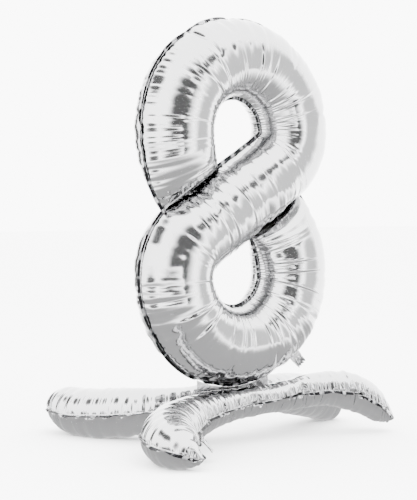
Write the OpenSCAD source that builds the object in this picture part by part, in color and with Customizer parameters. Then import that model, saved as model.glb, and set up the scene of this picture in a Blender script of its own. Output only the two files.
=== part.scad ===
// Foil number balloon, standing on two crescent base tubes.
// The front faces -Y, +X is to the right of someone who looks at the front, +Z is up.
// The figure, the front base tube and the rear base tube meet along one weld line.

/* [Figure] */
// Radius of the ring that each loop's middle follows
loop_r = 120; // [112:1:126]
// Radius of the inflated stroke
tube_r = 64; // [58:1:66]
// Radius of the corner between a loop and the diagonal
corner_r = 74; // [72:1:78]
// Width of the foot tab along the weld line
foot_w = 150; // [120:2:170]

/* [Base tubes] */
// Height of the weld line over the floor
weld_z = 86; // [84:1:92]
// Radius of the legs at their fullest
leg_r = 41; // [36:1:42]
// Radius of a tube at its waist, beside the weld line
waist_r = 23; // [20:1:25]
// How far a tube's middle line stands off the weld line
waist_off = 31; // [31:1:36]
// Height of a tube's middle line at its waist
waist_z = 66; // [62:1:68]

/* [Foil] */
// Thickness drawn for one sheet of foil
wall = 0.6; // [0.5:0.1:0.8]
// Thickness drawn for a welded edge, one sheet
edge_t = 0.3; // [0.2:0.1:0.4]
// Width of the welded edge outside a chamber
edge_w = 5; // [4:0.5:6]

/* [Fill necks and valves] */
// Width of a fill neck
neck_w = 22; // [18:1:26]
// Length of a fill neck
neck_l = 30; // [24:1:34]
// Thickness of a fill neck over both of its sheets
neck_t = 1.4; // [1.2:0.1:1.8]
// Width of a valve film
film_w = 14; // [10:1:16]
// Length of a valve film inside the chamber
film_l = 46; // [30:1:50]
// Thickness of a valve film
film_t = 0.2; // [0.1:0.05:0.25]

/* [Hidden] */
$fn = 48;

eps = 0.01;
gap = 0.4;                                  // clearance between pieces on different bodies
stand_at = [-23, -48];                      // the weld line's middle, so the outline's middle is the origin
tab_h = 4;                                  // height of the foot tab under the figure's edge
loop_z = weld_z + tab_h + edge_w + tube_r + loop_r; // middle of the lower loop
cross_z = loop_z + loop_r;                  // middle of the figure, where the diagonal crosses
neck_angle = -47;                           // where the figure's neck leaves the lower loop
neck_start = edge_w + gap + neck_t;         // from a chamber's side to its neck
film_gap = 0.3;                             // space between the two films of a valve
film_start = wall + 1;                      // from a chamber's side to its films

// ---------- half tubes ----------
// A half tube follows a list of stations. Each station is where its middle is, the way across
// it, the way up from its seam, half its width and half its depth.
half_facets = 9; // an odd number, so that a leg has a flat facet under it
seam_play = 0.1; // half the space between the two sheets of a chamber

// Its section, from one welded edge over the skin to the other, then back inside: pairs of
// how far across and how far up.
function half_section(half_w, half_d) = concat(
    [[half_w + edge_w, 0], [half_w + edge_w, edge_t]],
    [for (k = [0 : half_facets])
        let (a = 180 * k / half_facets) [half_w * cos(a), max(edge_t, half_d * sin(a))]],
    [[-half_w - edge_w, edge_t], [-half_w - edge_w, 0]],
    [for (k = [half_facets : -1 : 0])
        let (a = 180 * k / half_facets) [(half_w - wall) * cos(a), (half_d - wall) * sin(a)]]);

// Nothing goes below the floor, so a leg that rests on it has a flat patch there.
function skin_point(at, station, side, lowest) =
    let (p = station[0] + station[1] * at.x + station[2] * side * (at.y + seam_play))
    [p.x, p.y, max(p.z, lowest)];
function skin_ring(station, side) =
    let (section = half_section(station[3], station[4]), outside = half_facets + 4)
    [for (k = [0 : len(section) - 1])
        skin_point(section[k], station, side, k <= outside ? 0 : wall)];
function two_triangles(q) = [[q[0], q[1], q[2]], [q[0], q[2], q[3]]];

// Half of a tube's skin, on the up side of its seam (side 1) or the other (side -1).
module half_skin(stations, side) {
    n = 2 * half_facets + 6;
    last = (len(stations) - 1) * n;
    walls = [for (i = [0 : len(stations) - 2], k = [0 : n - 1])
        let (a = i * n + k, b = i * n + (k + 1) % n) each two_triangles([a, b, b + n, a + n])];
    end_quads = concat(
        [[0, 1, 2, n - 1]],
        [for (j = [0 : half_facets - 1]) [2 + j, 3 + j, n - 2 - j, n - 1 - j]],
        [[half_facets + 2, half_facets + 3, half_facets + 4, half_facets + 5]]);
    end = [for (q = end_quads) each two_triangles(q)];
    faces = concat(walls, [for (f = end) [f[2], f[1], f[0]]],
                   [for (f = end) [f[0] + last, f[1] + last, f[2] + last]]);
    polyhedron([for (station = stations) each skin_ring(station, side)],
               side > 0 ? [for (f = faces) [f[2], f[1], f[0]]] : faces);
}

// ---------- the figure ----------
// One stroke makes it. It starts flat at the weld on the diagonal's upper edge, runs up the
// left, over the top, down the diagonal and round the lower loop to the weld on the
// diagonal's lower edge. Lengths here are from the middle of the crossing.

loop_steps = 18;
corner_steps = 6;
end_steps = 6;
// The diagonal touches both corners.
diagonal_slope = atan2(loop_r, loop_r - corner_r) - asin(corner_r / norm([loop_r - corner_r, loop_r]));
// The stroke's end run turns until it faces the diagonal, whose edge it just clears.
end_turn = diagonal_slope;
end_clear = tube_r + edge_w + gap;
end_t = 5; // half the stroke's depth at its flat end
end_r = (loop_r * (sin(end_turn) + cos(end_turn)) - end_clear) / sin(end_turn);

// Stops along an arc, clockwise: x, z, half the stroke's depth and the heading there.
function arc_stops(middle, radius, from, to, steps) = [
    for (i = [0 : steps - 1])
        let (a = from + (to - from) * i / steps)
        [middle.x + radius * cos(a), middle.y + radius * sin(a), tube_r, a - 90]];
// Over the end run the depth grows from the flat weld to the full tube.
function end_depth(i) = max(end_t, tube_r * sqrt(1 - pow(1 - i / end_steps, 2)));
end_run = arc_stops([end_r - loop_r, loop_r], end_r, 180 + end_turn, 180, end_steps);
half_stroke = concat(
    [for (i = [0 : end_steps - 1])
        let (p = end_run[i]) [p.x, p.y, end_depth(i), p[3]]],
    arc_stops([0, loop_r], loop_r, 180, 0, loop_steps),
    arc_stops([loop_r - corner_r, loop_r], corner_r, 0, diagonal_slope - 90, corner_steps),
    [[loop_r - corner_r * (1 - sin(diagonal_slope)), loop_r - corner_r * cos(diagonal_slope),
      tube_r, diagonal_slope - 180]]);
stroke = concat(half_stroke, [for (i = [len(half_stroke) - 1 : -1 : 0])
    let (p = half_stroke[i]) [-p.x, -p.y, p.z, p[3]]]);
stroke_stations = [for (p = stroke)
    [[p.x, 0, cross_z + p.y], [-sin(p[3]), 0, cos(p[3])], [0, -1, 0], tube_r, p.z]];

module in_place() {
    translate([stand_at.x, stand_at.y, 0]) children();
}

module on_crossing() {
    in_place() translate([0, 0, cross_z]) children();
}

module number_front_sheet() {
    color("silver") in_place() half_skin(stroke_stations, 1);
}

module number_back_sheet() {
    color("lightgray") in_place() half_skin(stroke_stations, -1);
}

// The tail of both sheets, under the lower loop, which is welded to the base tubes.
module number_foot_tab() {
    color("gainsboro") on_crossing() difference() {
        translate([-foot_w / 2, -edge_t, weld_z - cross_z])
            cube([foot_w, 2 * edge_t, tab_h + edge_w + tube_r / 5]);
        translate([0, 0, -loop_r]) rotate([90, 0, 0])
            cylinder(r = loop_r + tube_r + edge_w, h = 1, center = true, $fn = 180);
    }
}

// A flattened sleeve that a straw goes into. It runs along +X from the origin.
module neck_sleeve() {
    slot_w = neck_w - 4;
    slot_t = neck_t - 2 * edge_t;
    difference() {
        translate([0, -neck_w / 2, -neck_t / 2]) cube([neck_l, neck_w, neck_t]);
        translate([-eps, -slot_w / 2, -slot_t / 2]) cube([neck_l + 2 * eps, slot_w, slot_t]);
    }
}

// One film of a valve, along -X from the origin, above (side 1) or below (side -1) level.
module valve_film(side) {
    translate([-film_l, -film_w / 2, side * (film_gap + film_t) / 2 - film_t / 2])
        cube([film_l, film_w, film_t]);
}

module at_figure_neck(beyond) {
    on_crossing() translate([0, 0, -loop_r]) rotate([90, 0, 0]) rotate([0, 0, neck_angle])
        translate([loop_r + tube_r + beyond, 0, 0]) children();
}

module number_fill_neck() {
    color("silver") at_figure_neck(neck_start) neck_sleeve();
}

module number_valve_front_film() {
    color("whitesmoke") at_figure_neck(-film_start) valve_film(1);
}

module number_valve_back_film() {
    color("whitesmoke") at_figure_neck(-film_start) valve_film(-1);
}

// ---------- the base tubes ----------
// Each tube's middle line runs from its left tip to its right tip, through these points:
// x and y from the weld line's middle, the height, and the tube's radius there.

tip_r = 6;
front_line = [
    [-222, -212, 18, tip_r], [-232, -168, 33, 34], [-206, -108, 39, leg_r], [-140, -62, 52, 37],
    [-68, -38, 60, 28], [0, -waist_off, waist_z, waist_r], [76, -34, 71, 25], [150, -42, 78, 29],
    [212, -56, 70, 32], [258, -72, 48, 31], [286, -86, 24, tip_r]];
rear_line = [
    [-156, 298, 42, tip_r], [-170, 254, 41, 34], [-166, 186, 39, leg_r], [-124, 110, 46, 40],
    [-64, 56, 57, 30], [0, waist_off, waist_z, waist_r], [76, 39, 68, 26], [150, 52, 62, 34],
    [222, 74, 49, 38], [282, 92, 34, 36], [314, 102, 26, tip_r]];
rings_per_span = 4;
neck_ring = 2 * rings_per_span; // the station of a tube that its fill neck leaves from
neck_drop = 50;                 // how far a base neck hangs below level, in degrees

// A smooth curve through a list of points, by Catmull and Rom's rule.
function between(a, b, c, d, t) =
    0.5 * (2 * b + (c - a) * t + (2 * a - 5 * b + 4 * c - d) * t * t
           + (3 * b - a - 3 * c + d) * t * t * t);
function point_on(line, i) =
    i < 0 ? 2 * line[0] - line[1]
    : i < len(line) ? line[i] : 2 * line[len(line) - 1] - line[len(line) - 2];
function smooth_line(line) = [
    for (i = [0 : len(line) - 2], s = [0 : rings_per_span - 1])
        between(point_on(line, i - 1), line[i], line[i + 1], point_on(line, i + 2),
                s / rings_per_span),
    line[len(line) - 1]];
function tube_stations(points) =
    let (line = smooth_line(points), up = [0, 0, 1], ends = len(line) - 1)
    [for (i = [0 : ends])
        let (here = line[i], ahead = line[min(i + 1, ends)] - line[max(i - 1, 0)],
             heading = [ahead.x, ahead.y, 0])
        [[here.x, here.y, here.z], cross(up, heading) / norm(heading), up, here[3], here[3]]];

// The welded margin along a tube's waist, which stands up to the weld line.
module waist_tab(toward) {
    foot = waist_off - waist_r - edge_w - gap - 2 * edge_t; // clear of the tube's own edge
    head = edge_t + gap;
    in_place() rotate([90, 0, 90]) linear_extrude(foot_w - 2 * edge_w, center = true)
        polygon([[toward * head, weld_z - gap], [toward * (head + 2 * edge_t), weld_z - gap],
                 [toward * foot, waist_z], [toward * (foot - 2 * edge_t), waist_z]]);
}

// Puts its children at the side of a tube, where its fill neck leaves, with +X straight out.
// side is which side of the middle line that is, and drop is how far +X hangs below level.
module at_base_neck(points, side, beyond, drop) {
    station = tube_stations(points)[neck_ring];
    out = side * station[1];
    in_place() translate(station[0] + out * (station[3] + beyond))
        rotate([0, drop, atan2(out.y, out.x)]) children();
}

module base_neck(points, side) {
    color("silver") at_base_neck(points, side, neck_start, neck_drop) neck_sleeve();
}

module base_film(points, side, film) {
    color("whitesmoke") at_base_neck(points, side, -film_start, 0) valve_film(film);
}

module front_base_top_sheet() {
    color("silver") in_place() half_skin(tube_stations(front_line), 1);
}

module front_base_bottom_sheet() {
    color("lightgray") in_place() half_skin(tube_stations(front_line), -1);
}

module front_base_waist_tab() {
    color("gainsboro") waist_tab(-1);
}

module front_base_fill_neck() {
    base_neck(front_line, -1);
}

module front_base_valve_top_film() {
    base_film(front_line, -1, 1);
}

module front_base_valve_bottom_film() {
    base_film(front_line, -1, -1);
}

module rear_base_top_sheet() {
    color("silver") in_place() half_skin(tube_stations(rear_line), 1);
}

module rear_base_bottom_sheet() {
    color("lightgray") in_place() half_skin(tube_stations(rear_line), -1);
}

module rear_base_waist_tab() {
    color("gainsboro") waist_tab(1);
}

module rear_base_fill_neck() {
    base_neck(rear_line, 1);
}

module rear_base_valve_top_film() {
    base_film(rear_line, 1, 1);
}

module rear_base_valve_bottom_film() {
    base_film(rear_line, 1, -1);
}

number_front_sheet();
number_back_sheet();
number_foot_tab();
number_fill_neck();
number_valve_front_film();
number_valve_back_film();
front_base_top_sheet();
front_base_bottom_sheet();
front_base_waist_tab();
front_base_fill_neck();
front_base_valve_top_film();
front_base_valve_bottom_film();
rear_base_top_sheet();
rear_base_bottom_sheet();
rear_base_waist_tab();
rear_base_fill_neck();
rear_base_valve_top_film();
rear_base_valve_bottom_film();
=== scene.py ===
import math
import time

import bmesh
import bpy
import numpy as np
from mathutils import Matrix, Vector


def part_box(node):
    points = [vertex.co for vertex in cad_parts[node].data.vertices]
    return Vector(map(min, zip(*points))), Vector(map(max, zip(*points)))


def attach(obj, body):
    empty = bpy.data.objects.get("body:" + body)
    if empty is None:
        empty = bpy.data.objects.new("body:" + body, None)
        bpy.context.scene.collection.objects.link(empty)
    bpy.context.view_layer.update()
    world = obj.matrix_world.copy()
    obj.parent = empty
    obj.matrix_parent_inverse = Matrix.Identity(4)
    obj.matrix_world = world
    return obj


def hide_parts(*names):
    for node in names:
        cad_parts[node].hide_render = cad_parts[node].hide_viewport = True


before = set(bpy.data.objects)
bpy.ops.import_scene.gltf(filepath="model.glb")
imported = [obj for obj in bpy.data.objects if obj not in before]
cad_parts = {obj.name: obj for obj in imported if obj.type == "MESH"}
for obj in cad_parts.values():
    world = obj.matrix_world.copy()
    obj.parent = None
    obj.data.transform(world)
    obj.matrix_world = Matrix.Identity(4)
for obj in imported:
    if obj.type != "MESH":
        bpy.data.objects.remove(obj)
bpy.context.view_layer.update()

startedAt = time.time()


def report(words):
    print(f"[{time.time() - startedAt:6.1f} s] {words}", flush=True)


def unit(v):
    v = np.asarray(v, float)
    return v / np.maximum(np.linalg.norm(v, axis=-1, keepdims=True), 1e-12)


# where things are
numberBox = np.array(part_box("number_front_sheet"))
weldMiddle = np.array([numberBox[:, 0].mean(), numberBox[1, 1], 0.0])  # under the weld line's middle
crossing = np.array([weldMiddle[0], weldMiddle[1], numberBox[:, 2].mean()])
edgeWidth = 0.005
skinThickness = 0.0003

# camera, floor and light
studio = {
    "cameraTurn": -37.5, "cameraDistance": 2.55, "cameraHeight": 0.403, "lens": 109.3,
    "shift": (-0.049, -0.1), "floorTone": 0.90, "wallTone": 0.96, "roomLight": 10.0,
    # degrees from the camera round to the left, distance, height, width, tall, tone of the middle
    "cards": {"nearCard": (-21, 2.6, 0.8, 3.6, 4.6, 0.02), "rightCard": (-84, 2.2, 0.6, 2.2, 3.6, 0.26),
              "leftCard": (60, 2.3, 0.05, 1.7, 1.1, 0.03), "highLeftCard": (78, 1.9, 2.2, 2.4, 1.5, 0.03),
              "backLeftCard": (132, 2.2, 0.45, 1.3, 2.4, 0.02), "lowCard": (2, 2.3, 0.12, 3.2, 0.80, 0.02),
              "highCard": (-54, 2.2, 1.9, 2.0, 1.3, 0.04)},
    # what the foil mirrors below the floor line: greyer than the floor itself
    "underTone": 0.14, "underSize": 2.8, "underDepth": 0.05,
    "cardCore": 0.55, "aimHeight": 0.38, "floorSize": 30,
    # place, side and power
    "lamps": {"keyLight": ((-0.2, -2.9, 2.2), 1.8, 60), "topLight": ((0.3, 0.2, 2.8), 2.0, 40)},
}
turn = math.radians(studio["cameraTurn"])
cameraData = bpy.data.cameras.new("camera")
cameraData.lens = studio["lens"]
cameraData.sensor_width = 36
cameraData.shift_x, cameraData.shift_y = studio["shift"]
camera = bpy.data.objects.new("camera", cameraData)
camera.location = (weldMiddle[0] + studio["cameraDistance"] * math.sin(turn),
                   weldMiddle[1] - studio["cameraDistance"] * math.cos(turn), studio["cameraHeight"])
camera.rotation_euler = (math.pi / 2, 0, turn)
bpy.context.scene.collection.objects.link(camera)
bpy.context.scene.camera = camera


def plainMaterial(name, tone, roughness=0.9):
    material = bpy.data.materials.new(name)
    material.use_nodes = True
    shader = material.node_tree.nodes["Principled BSDF"]
    shader.inputs["Base Color"].default_value = (tone, tone, tone, 1)
    shader.inputs["Roughness"].default_value = roughness
    return material


def stagePanel(name, middle, width, height, faces, tone):
    w, h = width / 2, height / 2
    mesh = bpy.data.meshes.new(name)
    mesh.from_pydata([(-w, -h, 0), (w, -h, 0), (w, h, 0), (-w, h, 0)], [], [(0, 1, 2, 3)])
    mesh.materials.append(plainMaterial(name, tone))
    panel = bpy.data.objects.new(name, mesh)
    panel.location = middle
    panel.rotation_euler = (Vector(faces) - Vector(middle)).to_track_quat("Z", "Y").to_euler()
    bpy.context.scene.collection.objects.link(panel)
    return panel


def softEdgedCard(name, middle, width, height, faces, tone):
    # dark in the middle and pale at its edges; only the foil sees it
    card = stagePanel(name, middle, width, height, faces, tone)
    tree = card.data.materials[0].node_tree
    coordinates = tree.nodes.new("ShaderNodeTexCoord")
    scaled = tree.nodes.new("ShaderNodeMapping")
    scaled.inputs["Scale"].default_value = (2 / width, 2 / height, 1)
    ball = tree.nodes.new("ShaderNodeTexGradient")
    ball.gradient_type = "SPHERICAL"
    ramp = tree.nodes.new("ShaderNodeValToRGB")
    ramp.color_ramp.interpolation = "EASE"
    ramp.color_ramp.elements[0].color = (studio["wallTone"],) * 3 + (1,)
    ramp.color_ramp.elements[1].color = (tone,) * 3 + (1,)
    ramp.color_ramp.elements[1].position = studio["cardCore"]
    tree.links.new(coordinates.outputs["Object"], scaled.inputs["Vector"])
    tree.links.new(scaled.outputs[0], ball.inputs[0])
    tree.links.new(ball.outputs[0], ramp.inputs[0])
    tree.links.new(ramp.outputs[0], tree.nodes["Principled BSDF"].inputs["Base Color"])
    card.visible_camera = False
    card.visible_shadow = False
    card.visible_diffuse = False


def softLight(name, place, aim, size, power):
    light = bpy.data.lights.new(name, "AREA")
    light.shape = "RECTANGLE"
    light.size = light.size_y = size
    light.energy = power
    lamp = bpy.data.objects.new(name, light)
    lamp.location = place
    lamp.rotation_euler = (Vector(aim) - Vector(place)).to_track_quat("-Z", "Y").to_euler()
    lamp.visible_glossy = False
    bpy.context.scene.collection.objects.link(lamp)


floor = stagePanel("floor", (0, 0, 0), studio["floorSize"], studio["floorSize"], (0, 0, 1),
                   studio["floorTone"])
floor.visible_glossy = False
room = bpy.data.worlds.new("room")
bpy.context.scene.world = room
room.use_nodes = True
room.node_tree.nodes["Background"].inputs["Color"].default_value = (studio["wallTone"],) * 3 + (1,)
room.node_tree.nodes["Background"].inputs["Strength"].default_value = studio["roomLight"]
middleAim = (weldMiddle[0], weldMiddle[1], studio["aimHeight"])
for name, (place, size, power) in studio["lamps"].items():
    softLight(name, place, middleAim, size, power)
for name, (angle, distance, height, width, tall, tone) in studio["cards"].items():
    way = turn - math.radians(angle)
    softEdgedCard(name, (weldMiddle[0] + distance * math.sin(way),
                         weldMiddle[1] - distance * math.cos(way), height), width, tall, middleAim, tone)
softEdgedCard("underCard", (weldMiddle[0], weldMiddle[1], -studio["underDepth"]),
              studio["underSize"], studio["underSize"], middleAim, studio["underTone"])
report("camera and studio")

# materials


def addNode(tree, kind, **settings):
    node = tree.nodes.new(kind)
    for key, value in settings.items():
        if key in node.bl_rna.properties:
            setattr(node, key, value)
        else:
            node.inputs[key.replace("_", " ")].default_value = value
    return node


def newGroup(name, inputs, outputs):
    group = bpy.data.node_groups.new(name, "ShaderNodeTree")
    for label, kind, value in inputs:
        socket = group.interface.new_socket(label, in_out="INPUT", socket_type=kind)
        if value is not None:
            socket.default_value = value
    for label, kind in outputs:
        group.interface.new_socket(label, in_out="OUTPUT", socket_type=kind)
    return group, group.nodes.new("NodeGroupInput"), group.nodes.new("NodeGroupOutput")


def math2(tree, operation, a, b=None, clamp=False):
    node = tree.nodes.new("ShaderNodeMath")
    node.operation = operation
    node.use_clamp = clamp
    for k, value in enumerate((a, b)):
        if value is None:
            continue
        if isinstance(value, (int, float)):
            node.inputs[k].default_value = value
        else:
            tree.links.new(value, node.inputs[k])
    return node.outputs[0]


def buildPuckerGroup():
    group, start, end = newGroup(
        "foilPuckers",
        [("Along", "NodeSocketFloat", 0.0), ("Seam Distance", "NodeSocketFloat", 0.0),
         ("Reach", "NodeSocketFloat", 0.02), ("Pitch", "NodeSocketFloat", 0.006)],
        [("Height", "NodeSocketFloat"), ("Near Seam", "NodeSocketFloat")])
    near = math2(group, "SUBTRACT", 1.0, math2(group, "DIVIDE", start.outputs["Seam Distance"],
                                               start.outputs["Reach"]), clamp=True)
    near = math2(group, "POWER", near, 1.6)
    combine = group.nodes.new("ShaderNodeCombineXYZ")
    group.links.new(math2(group, "DIVIDE", start.outputs["Along"], start.outputs["Pitch"]),
                    combine.inputs[0])
    group.links.new(math2(group, "MULTIPLY", start.outputs["Seam Distance"], 14.0), combine.inputs[1])
    noise = addNode(group, "ShaderNodeTexNoise", Scale=1.0, Detail=2.0, Roughness=0.55)
    group.links.new(combine.outputs[0], noise.inputs["Vector"])
    ridge = math2(group, "ABSOLUTE", math2(group, "SUBTRACT", noise.outputs[0], 0.5))
    group.links.new(math2(group, "MULTIPLY", ridge, near), end.inputs["Height"])
    group.links.new(near, end.inputs["Near Seam"])
    return group


def buildCrinkleGroup():
    group, start, end = newGroup(
        "filmCrinkle",
        [("Scale", "NodeSocketFloat", 20.0), ("Fine Scale", "NodeSocketFloat", 260.0)],
        [("Height", "NodeSocketFloat"), ("Tone", "NodeSocketFloat")])
    coordinates = group.nodes.new("ShaderNodeTexCoord")
    broad = addNode(group, "ShaderNodeTexNoise", Detail=3.0, Roughness=0.5)
    fine = addNode(group, "ShaderNodeTexNoise", Detail=2.0, Roughness=0.6)
    for node, label in ((broad, "Scale"), (fine, "Fine Scale")):
        group.links.new(coordinates.outputs["Object"], node.inputs["Vector"])
        group.links.new(start.outputs[label], node.inputs["Scale"])
    group.links.new(math2(group, "ADD", broad.outputs[0], math2(group, "MULTIPLY", fine.outputs[0], 0.06)),
                    end.inputs["Height"])
    group.links.new(fine.outputs[0], end.inputs["Tone"])
    return group


puckerGroup = buildPuckerGroup()
crinkleGroup = buildCrinkleGroup()


def foilMaterial(name, look):
    material = bpy.data.materials.new(name)
    material.use_nodes = True
    tree = material.node_tree
    shader = tree.nodes["Principled BSDF"]
    shader.inputs["Metallic"].default_value = 1.0
    crinkle = tree.nodes.new("ShaderNodeGroup")
    crinkle.node_tree = crinkleGroup
    crinkle.inputs["Scale"].default_value = look["crinkleScale"]
    crinkle.inputs["Fine Scale"].default_value = look["fineScale"]
    along = addNode(tree, "ShaderNodeAttribute", attribute_name="along")
    seam = addNode(tree, "ShaderNodeAttribute", attribute_name="seamDistance")
    pucker = tree.nodes.new("ShaderNodeGroup")
    pucker.node_tree = puckerGroup
    pucker.inputs["Reach"].default_value = look["puckerReach"]
    pucker.inputs["Pitch"].default_value = look["puckerPitch"]
    tree.links.new(along.outputs["Fac"], pucker.inputs["Along"])
    tree.links.new(seam.outputs["Fac"], pucker.inputs["Seam Distance"])
    height = math2(tree, "ADD", math2(tree, "MULTIPLY", crinkle.outputs["Height"], look["crinkle"]),
                   math2(tree, "MULTIPLY", pucker.outputs["Height"], look["pucker"]))
    bump = addNode(tree, "ShaderNodeBump", Strength=1.0, Distance=1.0)
    tree.links.new(height, bump.inputs["Height"])
    tree.links.new(bump.outputs[0], shader.inputs["Normal"])
    rough = addNode(tree, "ShaderNodeMapRange", To_Min=look["roughness"][0], To_Max=look["roughness"][1])
    tree.links.new(crinkle.outputs["Tone"], rough.inputs[0])
    tree.links.new(rough.outputs[0], shader.inputs["Roughness"])
    # painted shade: the foil's colour is mixed darker towards the seams, standing in for the shade in the
    # puckers there
    tone = tree.nodes.new("ShaderNodeMix")
    tone.data_type = "RGBA"
    # inputs 6 and 7 are the mix node's two colours
    tone.inputs[6].default_value = (*look["colour"], 1)
    tone.inputs[7].default_value = (*look["paintedSeamShade"], 1)
    tree.links.new(pucker.outputs["Near Seam"], tone.inputs[0])
    tree.links.new(tone.outputs[2], shader.inputs["Base Color"])
    return material


# each foil's second colour is painted shade near its seams, not a colour of the film
mirrorFoil = foilMaterial("mirrorFoil", {
    "colour": (0.40, 0.40, 0.405), "paintedSeamShade": (0.30, 0.30, 0.305), "roughness": (0.06, 0.15),
    "crinkleScale": 22.0, "fineScale": 420.0, "crinkle": 0.0006, "pucker": 0.0016,
    "puckerReach": 0.022, "puckerPitch": 0.006})
creasedFoil = foilMaterial("creasedFoil", {
    "colour": (0.38, 0.38, 0.385), "paintedSeamShade": (0.34, 0.34, 0.345), "roughness": (0.12, 0.28),
    "crinkleScale": 60.0, "fineScale": 700.0, "crinkle": 0.0012, "pucker": 0.0,
    "puckerReach": 0.01, "puckerPitch": 0.006})


# the pressed edge: dashes of painted dark reflection along the weld, where its ruffled flange mirrors dark
weld = {
    "dashesPerMetre": 90.0, "dashEdges": (0.52, 0.62), "paintedDarkReflection": (0.010, 0.010, 0.011),
    "pale": (0.40, 0.40, 0.41), "knurlScale": 1100.0, "knurlHeight": 0.0001,
    "crinkleScale": 90.0, "fineScale": 900.0, "crinkleHeight": 0.0006, "roughness": (0.22, 0.42),
}


def weldMaterial():
    material = bpy.data.materials.new("weldedFoil")
    material.use_nodes = True
    tree = material.node_tree
    shader = tree.nodes["Principled BSDF"]
    shader.inputs["Metallic"].default_value = 1.0
    dash = addNode(tree, "ShaderNodeAttribute", attribute_name="along")
    rows = tree.nodes.new("ShaderNodeCombineXYZ")
    tree.links.new(math2(tree, "MULTIPLY", dash.outputs["Fac"], weld["dashesPerMetre"]), rows.inputs[0])
    dashes = addNode(tree, "ShaderNodeTexNoise", Scale=1.0, Detail=1.0)
    tree.links.new(rows.outputs[0], dashes.inputs["Vector"])
    # the ramp runs from the painted dark reflection to the foil's own grey
    ramp = tree.nodes.new("ShaderNodeValToRGB")
    colours = (weld["paintedDarkReflection"], weld["pale"])
    for stop, place, colour in zip(ramp.color_ramp.elements, weld["dashEdges"], colours):
        stop.position = place
        stop.color = (*colour, 1)
    tree.links.new(dashes.outputs[0], ramp.inputs[0])
    tree.links.new(ramp.outputs[0], shader.inputs["Base Color"])
    crinkle = tree.nodes.new("ShaderNodeGroup")
    crinkle.node_tree = crinkleGroup
    crinkle.inputs["Scale"].default_value = weld["crinkleScale"]
    crinkle.inputs["Fine Scale"].default_value = weld["fineScale"]
    coordinates = tree.nodes.new("ShaderNodeTexCoord")
    knurl = addNode(tree, "ShaderNodeTexVoronoi", Scale=weld["knurlScale"])
    tree.links.new(coordinates.outputs["Object"], knurl.inputs["Vector"])
    height = math2(tree, "ADD", math2(tree, "MULTIPLY", knurl.outputs[0], weld["knurlHeight"]),
                   math2(tree, "MULTIPLY", crinkle.outputs["Height"], weld["crinkleHeight"]))
    bump = addNode(tree, "ShaderNodeBump", Strength=1.0, Distance=1.0)
    tree.links.new(height, bump.inputs["Height"])
    tree.links.new(bump.outputs[0], shader.inputs["Normal"])
    rough = addNode(tree, "ShaderNodeMapRange", To_Min=weld["roughness"][0], To_Max=weld["roughness"][1])
    tree.links.new(crinkle.outputs["Tone"], rough.inputs[0])
    tree.links.new(rough.outputs[0], shader.inputs["Roughness"])
    return material


# the valves' clear plastic film
film = {"colour": (0.9, 0.93, 0.93), "clearness": 0.6, "crinkleScale": 120.0, "roughness": (0.12, 0.3)}


def filmMaterial():
    material = bpy.data.materials.new("clearFilm")
    material.use_nodes = True
    tree = material.node_tree
    shader = tree.nodes["Principled BSDF"]
    shader.inputs["Base Color"].default_value = (*film["colour"], 1)
    shader.inputs["Transmission Weight"].default_value = film["clearness"]
    crinkle = tree.nodes.new("ShaderNodeGroup")
    crinkle.node_tree = crinkleGroup
    crinkle.inputs["Scale"].default_value = film["crinkleScale"]
    rough = addNode(tree, "ShaderNodeMapRange", To_Min=film["roughness"][0], To_Max=film["roughness"][1])
    tree.links.new(crinkle.outputs["Tone"], rough.inputs[0])
    tree.links.new(rough.outputs[0], shader.inputs["Roughness"])
    return material


weldedFoil = weldMaterial()
clearFilm = filmMaterial()
report("materials")

# foil chambers


def wander(length, pitch, rng, points):
    steps = max(4, int(length / pitch) + 3)
    knots = rng.standard_normal(steps)
    x = np.asarray(points) / pitch + 1
    k = np.clip(x.astype(int), 0, steps - 2)
    f = x - k
    f = f * f * (3 - 2 * f)
    return knots[k] * (1 - f) + knots[k + 1] * f


def smoothRows(field, sigmaRows, sigmaColumns):
    def kernel(sigma):
        reach = max(1, int(3 * sigma))
        w = np.exp(-0.5 * (np.arange(-reach, reach + 1) / max(sigma, 1e-6)) ** 2)
        return w / w.sum(), reach
    for axis, sigma in ((0, sigmaRows), (1, sigmaColumns)):
        w, reach = kernel(sigma)
        pad = [(0, 0)] * field.ndim
        pad[axis] = (reach, reach)
        padded = np.pad(field, pad, mode="edge")
        total = np.zeros_like(field)
        for k, weight in enumerate(w):
            total += weight * np.take(padded, range(k, k + field.shape[axis]), axis=axis)
        field = total
    return field


# what all folds have in common, as shares of their pitch or of the way from the outer seam to the inner one
foldShape = {
    "pillowWidth": (0.55, 1.5), "pillowRound": 0.7, "pillowLevel": 0.6,
    "creaseShift": 0.35, "creaseLean": 0.4, "creaseBow": 0.25, "creaseSize": (0.5, 1.0),
    "creaseFirst": (-0.1, 0.12), "creaseLast": (0.4, 0.85), "creaseRise": 0.08, "creaseFall": 0.3,
    "outerSpread": 0.30, "innerSpread": 0.16, "innerRuffle": 0.35, "calmAtSeam": 0.004,
}


def pillows(along, length, pitch, rng, reachRange):
    # a row of little pillows of uneven width: how far up each place stands, and how far in it reaches
    widths = pitch * rng.uniform(*foldShape["pillowWidth"], int(2.2 * length / pitch) + 4)
    edges = np.r_[-pitch * rng.random(), np.cumsum(widths)]
    k = np.clip(np.searchsorted(edges, along) - 1, 0, len(widths) - 1)
    f = (along - edges[k]) / widths[k]
    crown = np.abs(np.sin(np.pi * f)) ** foldShape["pillowRound"] * (widths[k] / pitch)
    return crown - foldShape["pillowLevel"], rng.uniform(*reachRange, len(widths) + 1)[k]


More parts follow.
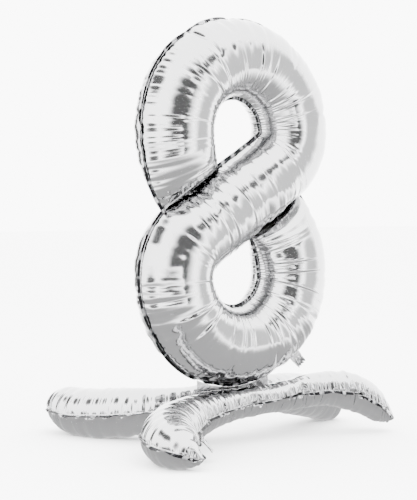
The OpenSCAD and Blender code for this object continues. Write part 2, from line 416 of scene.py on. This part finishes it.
def fineFolds(along, inward, values, rng):
    # inward is 1 at the seam round the outside of the bend and 0 at the seam on its inside
    total = np.zeros_like(along)
    height, pitch, near, far = values["pucker"]
    crown, reach = pillows(along, along.max(), pitch, rng, (near, far))
    total += height * crown * np.exp(-((1 - inward) / reach) ** 2)
    height, pitch, near, far = values["holePucker"]
    crown, reach = pillows(along, along.max(), pitch, rng, (near, far))
    total += height * crown * np.exp(-(inward / reach) ** 2)
    # long creases that leave the inside seam: each is up on one side of its line and down on the other
    height, pitch, thin, wide = values["crease"]
    for s in np.arange(pitch / 2, along.max(), pitch):
        s0 = s + rng.uniform(-1, 1) * foldShape["creaseShift"] * pitch
        lean = rng.uniform(-1, 1) * foldShape["creaseLean"] * pitch
        bow = rng.uniform(-1, 1) * foldShape["creaseBow"] * pitch
        first, last = rng.uniform(*foldShape["creaseFirst"]), rng.uniform(*foldShape["creaseLast"])
        size = rng.uniform(*foldShape["creaseSize"]) * height * rng.choice((-1, 1))
        width = rng.uniform(thin, wide)
        near = np.where(np.abs(along - s0) < pitch + 4 * wide)[0]
        place = inward[near]
        x = (along[near] - s0 - lean * (place - 0.5) - bow * np.sin(3 * place)) / width
        rise = np.clip((place - first) / foldShape["creaseRise"], 0, 1)
        taper = rise * np.clip((last - place) / foldShape["creaseFall"], 0, 1)
        total[near] += size * taper * x * np.exp(-x * x)
    return total


def buildChamber(name, line, values, rng):
    middle, across, up = line["middle"], line["across"], line["up"]
    halfWidth, halfDepth, outer = line["halfWidth"], line["halfDepth"], line["outer"]
    rows, columns = len(middle), values["columns"]
    t = np.linspace(0, 1, columns + 1)
    u, h = -np.cos(np.pi * t), np.sin(np.pi * t)
    offAcross = halfWidth[:, None] * u[None, :]
    offUp = halfDepth[:, None] * h[None, :]
    along = np.r_[0, np.cumsum(np.linalg.norm(np.diff(middle, axis=0), axis=1))]
    atOuter = np.where(outer[:, None] > 0, 1 - t[None, :], t[None, :])
    sided = np.abs(outer[:, None])
    atOuter = atOuter * sided + (1 - sided) * np.minimum(t, 1 - t)[None, :]
    length = along[-1]
    base = middle[:, None, :] + across[:, None, :] * offAcross[..., None]
    # folds die out at the welds and at the closed ends
    fade = (halfDepth > 1e-4)[:, None, None] * np.sin(np.pi * t)[None, :, None] ** 0.3
    start = {}
    for label, sign in (("front", 1), ("back", -1)):
        away = unit(across[:, None, :] * u[None, :, None] + sign * up[:, None, :] * h[None, :, None])
        height, pitch, near, far = values["ladder"]
        crown, reach = pillows(along, length, pitch, rng, (near, far))
        folds = height * crown[:, None] * np.exp(-(atOuter / reach[:, None]) ** 2)
        folds += values["broad"][0] * wander(length, values["broad"][1], rng, along)[:, None]
        start[label] = base + sign * up[:, None, :] * offUp[..., None] + away * folds[..., None] * fade
    # how much longer the foil was cut than the inflated skin needs: most at the outer seam
    crownSpare = values["spareCrown"]
    spare = crownSpare + (values["spareOuter"] - crownSpare) * np.exp(-(atOuter / foldShape["outerSpread"]) ** 2)
    atInner = np.exp(-((1 - atOuter) / foldShape["innerSpread"]) ** 2)
    spare = spare + (values["spareInner"] - crownSpare) * atInner
    # vertex numbers: the two sheets share their edges
    number = np.arange(rows * (columns + 1)).reshape(rows, columns + 1)
    backNumber = number.copy()
    inner = np.arange((rows - 2) * (columns - 1)).reshape(rows - 2, columns - 1) + number.size
    backNumber[1:-1, 1:-1] = inner
    count = number.size + inner.size
    edgeNumber = np.arange(2 * rows).reshape(2, rows) + count
    count += 2 * rows

    shape = np.zeros((count, 3))
    shape[number.ravel()] = start["front"].reshape(-1, 3)
    shape[inner.ravel()] = start["back"][1:-1, 1:-1].reshape(-1, 3)
    # the flat weld beyond each seam, ruffled most round the outside of a bend
    ruffle = wander(length, values["rufflePitch"], rng, along) * values["ruffle"]
    for k, (j, sign) in enumerate(((0, -1), (columns, 1))):
        strength = foldShape["innerRuffle"] + (1 - foldShape["innerRuffle"]) * np.clip(outer * sign, 0, 1)
        shape[edgeNumber[k]] = start["front"][:, j] + sign * across * edgeWidth
        shape[edgeNumber[k]] += up * (ruffle * strength)[:, None]
    spareOf = np.zeros(count)
    spareOf[number] = spare
    spareOf[backNumber] = spare
    spareOf[edgeNumber[0]], spareOf[edgeNumber[1]] = spare[:, 0], spare[:, -1]

    def strip(a, b):
        return np.stack([a[:-1], a[1:], b[1:], b[:-1]], axis=-1).reshape(-1, 4)
    frontFaces = strip(number[:, :-1], number[:, 1:])
    backFaces = strip(backNumber[:, :-1], backNumber[:, 1:])[:, ::-1]
    edgeFaces = np.vstack([strip(edgeNumber[0][:, None], number[:, :1]),
                           strip(number[:, -1:], edgeNumber[1][:, None])])
    faces = np.vstack([frontFaces, backFaces, edgeFaces])
    kinds = np.repeat([0, 1, 2], [len(frontFaces), len(backFaces), len(edgeFaces)])
    # how far each point is along the stroke, and from the nearer seam over the skin
    alongOf = np.zeros(count)
    seamOf = np.zeros(count)
    skin = np.minimum(t, 1 - t)[None, :] * (np.pi * halfWidth)[:, None]
    for ids in (number, backNumber):
        alongOf[ids] = along[:, None]
        seamOf[ids] = skin
    alongOf[edgeNumber] = along
    inwardOf = np.zeros(count)
    inwardOf[number] = inwardOf[backNumber] = 1 - atOuter
    inwardOf[edgeNumber[0]], inwardOf[edgeNumber[1]] = 1 - atOuter[:, 0], 1 - atOuter[:, -1]
    return {"name": name, "co": shape, "spare": spareOf, "faces": faces, "kinds": kinds, "number": number,
            "backNumber": backNumber, "edgeNumber": edgeNumber, "along": alongOf, "seam": seamOf,
            "inward": inwardOf, "line": line}


# how the foil behaves while it fills: stiff along the sheet, limp across it, quickly calm
foilCloth = {
    "quality": 5, "mass": 0.02, "tension_stiffness": 60, "compression_stiffness": 5, "shear_stiffness": 3,
    "bending_stiffness": 0.004, "tension_damping": 4, "compression_damping": 2, "shear_damping": 2,
    "bending_damping": 0.3, "air_damping": 3,
}


def inflate(chamber, values, pinned):
    mesh = bpy.data.meshes.new("bag")
    mesh.from_pydata(chamber["co"].tolist(), [], chamber["faces"].tolist())
    bag = bpy.data.objects.new("bag", mesh)
    bpy.context.scene.collection.objects.link(bag)
    air = bag.vertex_groups.new(name="air")
    skin = np.unique(np.r_[chamber["number"].ravel(), chamber["backNumber"].ravel()])
    air.add(skin.tolist(), 1.0, "REPLACE")
    taut = bag.vertex_groups.new(name="taut")
    for k, spare in enumerate(chamber["spare"]):
        taut.add([k], float(1 - spare / chamber["spare"].max()), "REPLACE")
    held = bag.vertex_groups.new(name="held")
    held.add([int(k) for k in np.where(pinned)[0]], 1.0, "REPLACE")
    cloth = bag.modifiers.new("cloth", "CLOTH")
    cloth.settings.shrink_min = -float(chamber["spare"].max())
    cloth.settings.shrink_max = 0.0
    cloth.settings.vertex_group_shrink = "taut"
    for setting, value in foilCloth.items():
        setattr(cloth.settings, setting, value)
    cloth.settings.use_pressure = True
    cloth.settings.uniform_pressure_force = values["pressure"]
    cloth.settings.vertex_group_pressure = "air"
    cloth.settings.vertex_group_mass = "held"
    cloth.settings.effector_weights.gravity = 0
    cloth.collision_settings.use_collision = False
    cloth.collision_settings.use_self_collision = False
    cloth.point_cache.frame_start = 1
    cloth.point_cache.frame_end = values["frames"] + 1
    for step in range(1, values["frames"] + 1):
        bpy.context.scene.frame_set(step)
    settled = bag.evaluated_get(bpy.context.evaluated_depsgraph_get()).data
    co = np.zeros(len(settled.vertices) * 3, np.float32)
    settled.vertices.foreach_get("co", co)
    co = co.reshape(-1, 3).astype(float)
    bpy.context.scene.frame_set(1)
    bpy.data.objects.remove(bag)
    return co


def keepOutline(chamber, moved, values):
    # keeps the wrinkles that filling made and takes back most of the broad swelling
    start = chamber["co"]
    shift = moved - start
    size = np.linalg.norm(shift, axis=1, keepdims=True)
    shift = shift / (1 + (size / values["moveCap"]) ** 3) ** (1 / 3)
    rowStep = np.linalg.norm(np.diff(chamber["line"]["middle"], axis=0), axis=1).mean()
    for ids in (chamber["number"], chamber["backNumber"]):
        grid = shift[ids]
        broad = smoothRows(grid, values["outlineReach"] / rowStep, values["columns"] / 7)
        moved[ids] = start[ids] + grid - values["outlineHold"] * broad
    for k, j in ((0, 0), (1, -1)):
        ids = chamber["edgeNumber"][k]
        seamIds = chamber["number"][:, j]
        moved[ids] = moved[seamIds] + (start[ids] + shift[ids]) - (start[seamIds] + shift[seamIds])
    return moved


def meshFrom(name, co, faces, floats):
    used = np.unique(faces)
    renumber = np.zeros(len(co), int)
    renumber[used] = np.arange(len(used))
    mesh = bpy.data.meshes.new(name)
    mesh.from_pydata(co[used].tolist(), [], renumber[faces].tolist())
    for label, values in floats.items():
        field = mesh.attributes.new(label, "FLOAT", "POINT")
        field.data.foreach_set("value", values[used].astype(np.float32))
    mesh.polygons.foreach_set("use_smooth", np.ones(len(mesh.polygons), bool))
    return mesh


def finishSheets(chamber, co, names, body, replaced, values, rng):
    mesh = meshFrom("skin", co, chamber["faces"], {
        "along": chamber["along"], "seamDistance": chamber["seam"], "inward": chamber["inward"]})
    mesh.attributes.new("kind", "INT", "FACE").data.foreach_set("value", chamber["kinds"].astype(np.int32))
    skin = bpy.data.objects.new("skin", mesh)
    bpy.context.scene.collection.objects.link(skin)
    smoothing = skin.modifiers.new("smooth", "SUBSURF")
    smoothing.levels = smoothing.render_levels = 1
    fine = bpy.data.meshes.new_from_object(skin.evaluated_get(bpy.context.evaluated_depsgraph_get()))
    fineCo = np.zeros(len(fine.vertices) * 3, np.float32)
    fine.vertices.foreach_get("co", fineCo)
    fineCo = fineCo.reshape(-1, 3).astype(float)
    corners = np.zeros(len(fine.loops), np.int32)
    fine.loops.foreach_get("vertex_index", corners)
    quads = corners.reshape(-1, 4)
    kinds = np.zeros(len(quads), np.int32)
    fine.attributes["kind"].data.foreach_get("value", kinds)
    floats = {}
    for label in ("along", "seamDistance", "inward"):
        field = np.zeros(len(fine.vertices), np.float32)
        fine.attributes[label].data.foreach_get("value", field)
        floats[label] = field.astype(float)
    bpy.data.objects.remove(skin)
    a, b, c, d = (fineCo[quads[:, k]] for k in range(4))
    normals = unit(np.cross(c - a, d - b))
    for side in (0, 1):
        own = quads[kinds == side]
        normal = np.zeros_like(fineCo)
        for k in range(4):
            np.add.at(normal, own[:, k], normals[kinds == side])
        ids = np.unique(own)
        lift = fineFolds(floats["along"][ids], floats["inward"][ids], values, rng)
        lift *= np.clip(floats["seamDistance"][ids] / foldShape["calmAtSeam"], 0, 1)
        fineCo[ids] += unit(normal[ids]) * lift[:, None]
    fineCo[:, 2] = np.maximum(fineCo[:, 2], skinThickness + 0.0001)
    for side, name in enumerate(names):
        own = quads[kinds == side]
        edge = quads[kinds == 2]
        faces = np.vstack([own, edge if side == 0 else edge[:, ::-1]])
        sheet = bpy.data.objects.new(name, meshFrom(name, fineCo, faces, floats))
        bpy.context.scene.collection.objects.link(sheet)
        for finish in (mirrorFoil, weldedFoil):
            sheet.data.materials.append(finish)
        finishes = np.repeat([0, 1], [len(own), len(edge)]).astype(np.int32)
        sheet.data.polygons.foreach_set("material_index", finishes)
        wall = sheet.modifiers.new("wall", "SOLIDIFY")
        wall.thickness = skinThickness
        wall.offset = 1
        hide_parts(replaced[side])
        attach(sheet, body)
    addCrimps(chamber, co, chamber["name"] + "Crimps", body)


# fine ribs pressed across every welded edge
crimp = {"pitch": 0.0048, "width": 0.0010, "length": 0.0042, "height": 0.0012, "seed": 3,
         "smallest": (0.6, 0.75, 0.8), "largest": (1.6, 1.0, 1.1)}


def buildCrimpNodes():
    group = bpy.data.node_groups.new("weldCrimps", "GeometryNodeTree")
    group.interface.new_socket("Geometry", in_out="INPUT", socket_type="NodeSocketGeometry")
    for label, kind in (("Pitch", "Float"), ("Width", "Float"), ("Length", "Float"), ("Height", "Float"),
                        ("Seed", "Int"), ("Material", "Material")):
        group.interface.new_socket(label, in_out="INPUT", socket_type="NodeSocket" + kind)
    group.interface.new_socket("Geometry", in_out="OUTPUT", socket_type="NodeSocketGeometry")
    given, result = group.nodes.new("NodeGroupInput"), group.nodes.new("NodeGroupOutput")
    path = group.nodes.new("GeometryNodeMeshToCurve")
    spaced = group.nodes.new("GeometryNodeResampleCurve")
    spaced.mode = "LENGTH"
    size = group.nodes.new("ShaderNodeCombineXYZ")
    bar = group.nodes.new("GeometryNodeMeshCube")
    tangent = group.nodes.new("GeometryNodeInputTangent")
    outward = group.nodes.new("GeometryNodeInputNamedAttribute")
    outward.data_type = "FLOAT_VECTOR"
    outward.inputs["Name"].default_value = "outward"
    facing = group.nodes.new("FunctionNodeAxesToRotation")
    facing.primary_axis, facing.secondary_axis = "X", "Y"
    varied = group.nodes.new("FunctionNodeRandomValue")
    varied.data_type = "FLOAT_VECTOR"
    varied.inputs["Min"].default_value = crimp["smallest"]
    varied.inputs["Max"].default_value = crimp["largest"]
    placed = group.nodes.new("GeometryNodeInstanceOnPoints")
    solid = group.nodes.new("GeometryNodeRealizeInstances")
    coated = group.nodes.new("GeometryNodeSetMaterial")
    link = group.links.new
    link(given.outputs["Geometry"], path.inputs["Mesh"])
    link(path.outputs["Curve"], spaced.inputs["Curve"])
    link(given.outputs["Pitch"], spaced.inputs["Length"])
    for k, label in enumerate(("Width", "Length", "Height")):
        link(given.outputs[label], size.inputs[k])
    link(size.outputs[0], bar.inputs["Size"])
    link(tangent.outputs[0], facing.inputs["Primary Axis"])
    link(outward.outputs["Attribute"], facing.inputs["Secondary Axis"])
    link(given.outputs["Seed"], varied.inputs["Seed"])
    link(spaced.outputs["Curve"], placed.inputs["Points"])
    link(bar.outputs["Mesh"], placed.inputs["Instance"])
    link(facing.outputs["Rotation"], placed.inputs["Rotation"])
    link(varied.outputs["Value"], placed.inputs["Scale"])
    link(placed.outputs["Instances"], solid.inputs["Geometry"])
    link(solid.outputs["Geometry"], coated.inputs["Geometry"])
    link(given.outputs["Material"], coated.inputs["Material"])
    link(coated.outputs["Geometry"], result.inputs["Geometry"])
    return group


crimpNodes = buildCrimpNodes()


def addCrimps(chamber, co, name, body):
    number, edgeNumber = chamber["number"], chamber["edgeNumber"]
    points, outward, along, edges = [], [], [], []
    for k, seam in ((0, number[1:-1, 0]), (1, number[1:-1, -1])):
        rim = edgeNumber[k][1:-1]
        first = sum(len(p) for p in points)
        points.append((co[seam] + co[rim]) / 2)
        outward.append(unit(co[rim] - co[seam]))
        along.append(chamber["along"][rim])
        edges += [(first + i, first + i + 1) for i in range(len(rim) - 1)]
    mesh = bpy.data.meshes.new(name + "Path")
    mesh.from_pydata(np.vstack(points).tolist(), edges, [])
    away = mesh.attributes.new("outward", "FLOAT_VECTOR", "POINT")
    away.data.foreach_set("vector", np.vstack(outward).ravel())
    place = mesh.attributes.new("along", "FLOAT", "POINT")
    place.data.foreach_set("value", np.concatenate(along))
    path = bpy.data.objects.new(name + "Path", mesh)
    bpy.context.scene.collection.objects.link(path)
    ribs = path.modifiers.new("crimps", "NODES")
    ribs.node_group = crimpNodes
    given = {"Pitch": crimp["pitch"], "Width": crimp["width"], "Length": crimp["length"],
             "Height": crimp["height"], "Seed": crimp["seed"], "Material": weldedFoil}
    for item in crimpNodes.interface.items_tree:
        if item.in_out == "INPUT" and item.name in given:
            ribs[item.identifier] = given[item.name]
    path.update_tag()
    made = bpy.data.meshes.new_from_object(path.evaluated_get(bpy.context.evaluated_depsgraph_get()))
    bpy.data.objects.remove(path)
    piece = bpy.data.objects.new(name, made)
    bpy.context.scene.collection.objects.link(piece)
    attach(piece, body)
    report(f"{name}: {len(made.polygons) // 6} ribs")


# a fill neck: the flat film strip drawn into ruffles towards its cut end
neckFold = {"cell": 0.0020, "height": 0.0022, "waves": 3.2, "curl": 0.002, "smooth": 0.40, "pinch": 0.25,
            "fineHeight": 0.4, "fineWaves": 17, "lean": 2.5, "fineLean": 9}


def ruffleNeck(name, node, body, rootPoint):
    mesh = bpy.data.objects[node].data.copy()
    co = np.zeros(len(mesh.vertices) * 3)
    mesh.vertices.foreach_get("co", co)
    co = co.reshape(-1, 3)
    middle = co.mean(axis=0)
    axes = np.linalg.eigh(np.cov((co - middle).T))[1]
    thin, side, main = axes.T  # the strip's own directions, from its thinnest to its longest
    if np.dot(middle - rootPoint, main) < 0:
        main = -main
    work = bmesh.new()
    work.from_mesh(mesh)
    bmesh.ops.remove_doubles(work, verts=work.verts, dist=1e-6)
    for axis in (main, side):
        reach = (co - middle) @ axis
        for cut in np.arange(reach.min() + neckFold["cell"], reach.max(), neckFold["cell"]):
            bmesh.ops.bisect_plane(work, geom=work.verts[:] + work.edges[:] + work.faces[:],
                                   plane_co=Vector(middle + axis * cut), plane_no=Vector(axis))
    work.to_mesh(mesh)
    work.free()
    co = np.zeros(len(mesh.vertices) * 3)
    mesh.vertices.foreach_get("co", co)
    co = co.reshape(-1, 3)
    p, q = (co - middle) @ main, (co - middle) @ side
    t = np.clip((p - p.min()) / np.ptp(p) - neckFold["smooth"], 0, 1) / (1 - neckFold["smooth"])
    w = q / max(np.ptp(q), 1e-6)
    wave = np.sin(2 * np.pi * neckFold["waves"] * w + neckFold["lean"] * t)
    wave = wave + neckFold["fineHeight"] * np.sin(neckFold["fineWaves"] * w + neckFold["fineLean"] * t)
    co = co + thin * (neckFold["height"] * t ** 0.7 * wave + neckFold["curl"] * t ** 2 * w)[:, None]
    co = co - side * (neckFold["pinch"] * q * t ** 1.5)[:, None]
    mesh.vertices.foreach_set("co", co.ravel())
    mesh.materials.clear()
    mesh.materials.append(creasedFoil)
    mesh.update()
    piece = bpy.data.objects.new(name, mesh)
    bpy.context.scene.collection.objects.link(piece)
    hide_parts(node)
    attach(piece, body)


# the figure: one stroke from the weld on the diagonal's upper edge, round both loops
# ladder and puckers: height, pitch, least and most reach inward
# crease: height, pitch, least and most width; broad: height and pitch
figure = {
    "loopRadius": 0.120, "tubeRadius": 0.064, "cornerRadius": 0.074, "rowStep": 0.003, "columns": 34,
    "spareCrown": 0.012, "spareOuter": 0.08, "spareInner": 0.04,
    "ladder": (0.0024, 0.017, 0.22, 0.46), "pucker": (0.0009, 0.0065, 0.10, 0.40),
    "holePucker": (0.0009, 0.006, 0.10, 0.36), "crease": (0.0027, 0.026, 0.0020, 0.0038),
    "broad": (0.0006, 0.05), "rufflePitch": 0.008, "ruffle": 0.0016,
    "pressure": 40, "frames": 14, "moveCap": 0.012, "outlineReach": 0.03, "outlineHold": 0.7,
    "endGap": 0.0004, "tabHalf": 0.07, "tabReach": 0.006,
}


def figureLine(values):
    loop, tube, corner = values["loopRadius"], values["tubeRadius"], values["cornerRadius"]
    slope = math.atan2(loop, loop - corner) - math.asin(corner / math.hypot(loop - corner, loop))
    endClear = tube + edgeWidth + values["endGap"]
    endRadius = (loop * (math.sin(slope) + math.cos(slope)) - endClear) / math.sin(slope)

    def arc(cx, cz, radius, start, stop, step):
        count = max(2, int(abs(stop - start) * radius / step))
        a = np.linspace(start, stop, count + 1)[:-1]
        depth = np.full(count, tube)
        return np.c_[cx + radius * np.cos(a), cz + radius * np.sin(a), depth, a - math.pi / 2]
    step = values["rowStep"]
    end = arc(endRadius - loop, loop, endRadius, math.pi + slope, math.pi, step)
    s = np.linspace(0, 1, len(end) + 1)[:-1]
    end[:, 2] = tube * np.sqrt(1 - (1 - s) ** 2)
    rise = arc(0, loop, loop, math.pi, 0, step)
    bend = arc(loop - corner, loop, corner, 0, slope - math.pi / 2, step * 1.7)
    top = np.array([loop - corner * (1 - math.sin(slope)), loop - corner * math.cos(slope)])
    count = int(np.linalg.norm(top) / step)
    f = np.linspace(1, 0, count + 1)[:-1]
    run = np.c_[np.outer(f, top), np.full(count, tube), np.full(count, slope - math.pi)]
    half = np.vstack([end, rise, bend, run])
    mirrored = half[::-1].copy()
    mirrored[:, :2] *= -1
    stroke = np.vstack([half, [[0, 0, tube, slope - math.pi]], mirrored])
    heading = stroke[:, 3]
    # which side is the outside of the bend: it changes over along the diagonal
    side = np.where(np.arange(len(stroke)) < len(half), 1.0, -1.0)
    side[len(half) - count:len(half) + count + 1] = np.linspace(1, -1, 2 * count + 1)
    zero = np.zeros(len(stroke))
    return {"middle": np.c_[stroke[:, 0], zero, stroke[:, 1]] + crossing,
            "across": np.c_[-np.sin(heading), zero, np.cos(heading)],
            "up": np.tile([0.0, -1.0, 0.0], (len(stroke), 1)),
            "halfWidth": np.full(len(stroke), tube), "halfDepth": stroke[:, 2], "outer": side}


rng = np.random.default_rng(8)
numberChamber = buildChamber("number", figureLine(figure), figure, rng)
numberCo = numberChamber["co"]
low = numberCo[:, 2] < numberBox[0, 2] + figure["tabReach"]
atTab = low & (np.abs(numberCo[:, 0] - weldMiddle[0]) < figure["tabHalf"])
numberCo = keepOutline(numberChamber, inflate(numberChamber, figure, atTab), figure)
report(f"number: {len(numberCo)} points")
finishSheets(numberChamber, numberCo, ("numberFrontFoil", "numberBackFoil"), "number",
             ("number_front_sheet", "number_back_sheet"), figure, rng)

# the base tubes: x, y from the weld line's middle, height and radius, from the left tip to the right
baseTube = {
    "rowStep": 0.003, "columns": 20, "spareCrown": 0.015, "spareOuter": 0.07, "spareInner": 0.07,
    "ladder": (0.0036, 0.019, 0.25, 0.6), "pucker": (0.0010, 0.007, 0.12, 0.40),
    "holePucker": (0.0026, 0.012, 0.16, 0.50), "crease": (0.0027, 0.024, 0.0022, 0.0040),
    "broad": (0.0005, 0.04), "rufflePitch": 0.008, "ruffle": 0.0014,
    "pressure": 50, "frames": 14, "moveCap": 0.010, "outlineReach": 0.025, "outlineHold": 0.8,
    "weldHalf": 0.06, "weldReach": 0.009, "tipLength": 0.010,
}
baseRoutes = {
    "frontBase": [(-222, -212, 18, 6), (-232, -168, 33, 34), (-206, -108, 39, 41), (-140, -62, 52, 37),
                  (-68, -38, 60, 28), (0, -31, 66, 23), (76, -34, 71, 25), (150, -42, 78, 29),
                  (212, -56, 70, 32), (258, -72, 48, 31), (286, -86, 24, 6)],
    "rearBase": [(-156, 298, 42, 6), (-170, 254, 41, 34), (-166, 186, 39, 41), (-124, 110, 46, 40),
                 (-64, 56, 57, 30), (0, 31, 66, 23), (76, 39, 68, 26), (150, 52, 62, 34),
                 (222, 74, 49, 38), (282, 92, 34, 36), (314, 102, 26, 6)],
}


def tubeLine(route, values, outerSign):
    points = np.array(route) / 1000.0
    points = np.vstack([2 * points[0] - points[1], points, 2 * points[-1] - points[-2]])
    dense = []
    for k in range(1, len(points) - 2):
        a, b, c, d = points[k - 1:k + 3]
        for t in np.arange(40) / 40:
            dense.append(0.5 * (2 * b + (c - a) * t + (2 * a - 5 * b + 4 * c - d) * t * t
                                + (3 * b - a - 3 * c + d) * t ** 3))
    dense = np.array(dense + [points[-2]])
    along = np.r_[0, np.cumsum(np.linalg.norm(np.diff(dense[:, :3], axis=0), axis=1))]
    s = np.linspace(0, along[-1], int(along[-1] / values["rowStep"]))
    line = np.stack([np.interp(s, along, dense[:, k]) for k in range(4)], axis=1)
    heading = np.gradient(line[:, :2], axis=0)
    heading = np.c_[heading, np.zeros(len(line))]
    up = np.tile([0.0, 0.0, 1.0], (len(line), 1))
    fromTip = np.minimum(s, s[-1] - s) / values["tipLength"]
    depth = line[:, 3] * np.sqrt(1 - (1 - np.clip(fromTip, 0, 1)) ** 2)
    return {"middle": line[:, :3] + weldMiddle, "across": unit(np.cross(up, heading)), "up": up,
            "halfWidth": line[:, 3], "halfDepth": depth, "outer": np.full(len(line), float(outerSign))}


for name, body, outerSign in (("frontBase", "front_base", 1), ("rearBase", "rear_base", -1)):
    chamber = buildChamber(name, tubeLine(baseRoutes[name], baseTube, outerSign), baseTube, rng)
    co = chamber["co"]
    atWeld = np.abs(co[:, 0] - weldMiddle[0]) < baseTube["weldHalf"]
    atWeld &= np.abs(co[:, 1] - weldMiddle[1]) < baseTube["weldReach"]
    co = keepOutline(chamber, inflate(chamber, baseTube, atWeld), baseTube)
    report(f"{name}: {len(co)} points")
    finishSheets(chamber, co, (name + "TopFoil", name + "BottomFoil"), body,
                 (body + "_top_sheet", body + "_bottom_sheet"), baseTube, rng)

for name, body, home in (("numberNeck", "number_neck", "number_front_sheet"),
                         ("frontBaseNeck", "front_base_neck", "front_base_top_sheet"),
                         ("rearBaseNeck", "rear_base_neck", "rear_base_top_sheet")):
    ruffleNeck(name, body.replace("_neck", "_fill_neck"), body, np.array(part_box(home)).mean(axis=0))
report("fill necks")

# the CAD pieces that stay
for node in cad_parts:
    piece = bpy.data.objects.get(node)
    if piece is None:
        continue
    if "film" in node or "tab" in node:
        piece.data.materials.clear()
        piece.data.materials.append(clearFilm if "film" in node else creasedFoil)

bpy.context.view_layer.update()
report("done")
